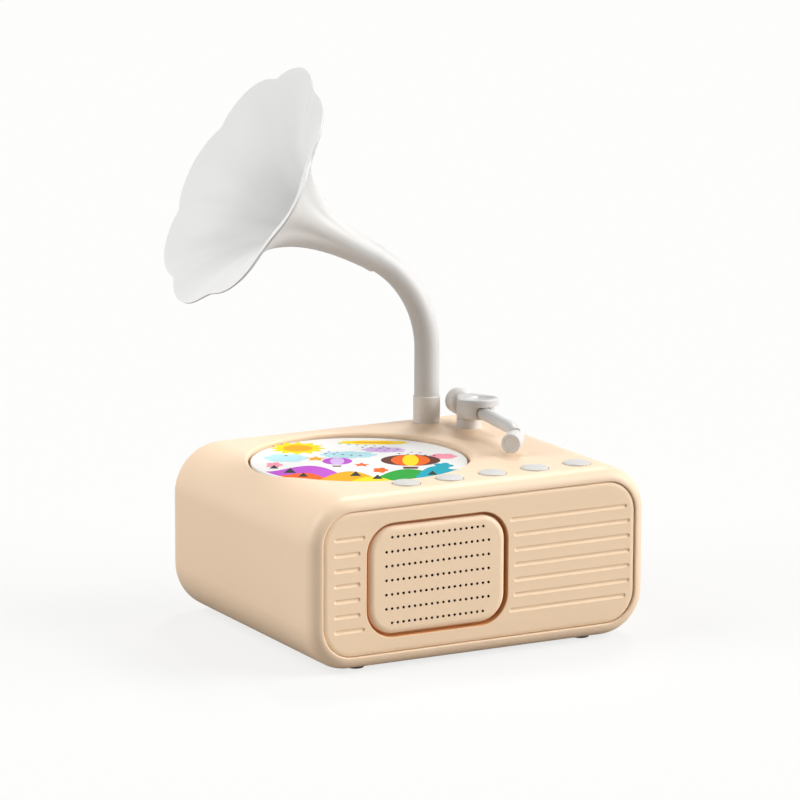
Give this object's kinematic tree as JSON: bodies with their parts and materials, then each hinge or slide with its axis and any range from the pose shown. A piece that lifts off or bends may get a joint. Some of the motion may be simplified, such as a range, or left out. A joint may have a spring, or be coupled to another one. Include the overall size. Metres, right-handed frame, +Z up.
{
  "type": "toy gramophone sound machine",
  "caption": "Rounded box with a sunk disc, a row of push buttons, a slotted front with a speaker grille, a petal horn on a bent tube and a swinging tonearm.",
  "frame": {"origin": "on the floor, under the middle of the box", "axes": "+Z up, -Y out of the front with the grille, +X to the right seen from the front"},
  "size_m": [0.1394, 0.1568, 0.2026],
  "materials": {
    "shell": "satin",
    "panel": "satin",
    "grille": "satin",
    "base": "matte",
    "foot": "matte",
    "steel": "satin",
    "magnet": "matte",
    "cone": "matte",
    "brass": "satin",
    "gear": "matte",
    "board": "satin",
    "switch": "matte",
    "cell": "satin",
    "button": "satin",
    "disc": "printed, satin",
    "collar": "satin",
    "horn": "glossy",
    "tonearm": "satin"
  },
  "bodies": {
    "housing": {"housing": "shell", "base_cover": "base", "foot_1": "foot", "foot_2": "foot", "foot_3": "foot", "foot_4": "foot", "front_fascia": "panel", "speaker_grille": "grille", "speaker_frame": "steel", "speaker_cone": "cone", "speaker_magnet": "magnet", "speaker_screws": "steel", "platter_bush": "brass", "motor": "steel", "motor_bracket": "gear", "bracket_screws": "steel", "circuit_board": "board", "button_switches": "switch", "board_screws": "steel", "charge_board": "board", "charge_screws": "steel", "charging_socket": "steel", "power_switch": "switch", "battery_holder": "base", "battery": "cell", "base_screws": "steel", "horn_collar": "collar", "collar_nut": "steel", "tonearm_base": "collar", "tonearm_pin": "steel", "tonearm_nut": "steel"},
    "platter": {"turntable_platter": "gear", "platter_shaft": "steel", "drive_gear": "gear", "shaft_clip": "steel"},
    "pinion": {"motor_pinion": "gear", "motor_shaft": "steel"},
    "disc": {"story_disc": "disc"},
    "button_1": {"button_1": "button"},
    "button_2": {"button_2": "button"},
    "button_3": {"button_3": "button"},
    "button_4": {"button_4": "button"},
    "button_5": {"button_5": "button"},
    "power_slider": {"power_slider": "switch"},
    "horn": {"horn_tube": "horn", "horn_bell": "horn"},
    "tonearm": {"tonearm_hub": "tonearm", "tonearm_cap": "tonearm", "tonearm_arm": "tonearm", "tonearm_head": "tonearm", "counterweight": "tonearm"}
  },
  "joints": [
    {"name": "platter_spin", "type": "hinge", "parent": "housing", "child": "platter", "pos_m": [-0.01805, 0.0031, 0.06], "axis": [0, 0, 1], "continuous": true},
    {"name": "pinion_spin", "type": "hinge", "parent": "housing", "child": "pinion", "pos_m": [-0.01805, -0.0149, 0.052], "axis": [0, 0, 1], "continuous": true},
    {"name": "disc_lift", "type": "slide", "parent": "platter", "child": "disc", "axis": [0, 0, 1], "range_m": [0, 0.04]},
    {"name": "button_1_press", "type": "slide", "parent": "housing", "child": "button_1", "axis": [0, 0, -1], "range_m": [0, 0.0008], "stiffness_N_per_m": 600, "springref_m": -0.0004},
    {"name": "button_2_press", "type": "slide", "parent": "housing", "child": "button_2", "axis": [0, 0, -1], "range_m": [0, 0.0008], "stiffness_N_per_m": 600, "springref_m": -0.0004},
    {"name": "button_3_press", "type": "slide", "parent": "housing", "child": "button_3", "axis": [0, 0, -1], "range_m": [0, 0.0008], "stiffness_N_per_m": 600, "springref_m": -0.0004},
    {"name": "button_4_press", "type": "slide", "parent": "housing", "child": "button_4", "axis": [0, 0, -1], "range_m": [0, 0.0008], "stiffness_N_per_m": 600, "springref_m": -0.0004},
    {"name": "button_5_press", "type": "slide", "parent": "housing", "child": "button_5", "axis": [0, 0, -1], "range_m": [0, 0.0008], "stiffness_N_per_m": 600, "springref_m": -0.0004},
    {"name": "power_slide", "type": "slide", "parent": "housing", "child": "power_slider", "axis": [1, 0, 0], "range_m": [0, 0.002]},
    {"name": "horn_turn", "type": "hinge", "parent": "housing", "child": "horn", "pos_m": [0.03384, 0.04544, 0.0645], "axis": [0, 0, 1], "range_deg": [-90, 90]},
    {"name": "tonearm_swing", "type": "hinge", "parent": "housing", "child": "tonearm", "pos_m": [0.0431, 0.0293, 0.0645], "axis": [0, 0, 1], "range_deg": [-45, 4]}
  ],
  "couplings": [
    {"joint": "pinion_spin", "follows": "platter_spin", "ratio": -4}
  ]
}
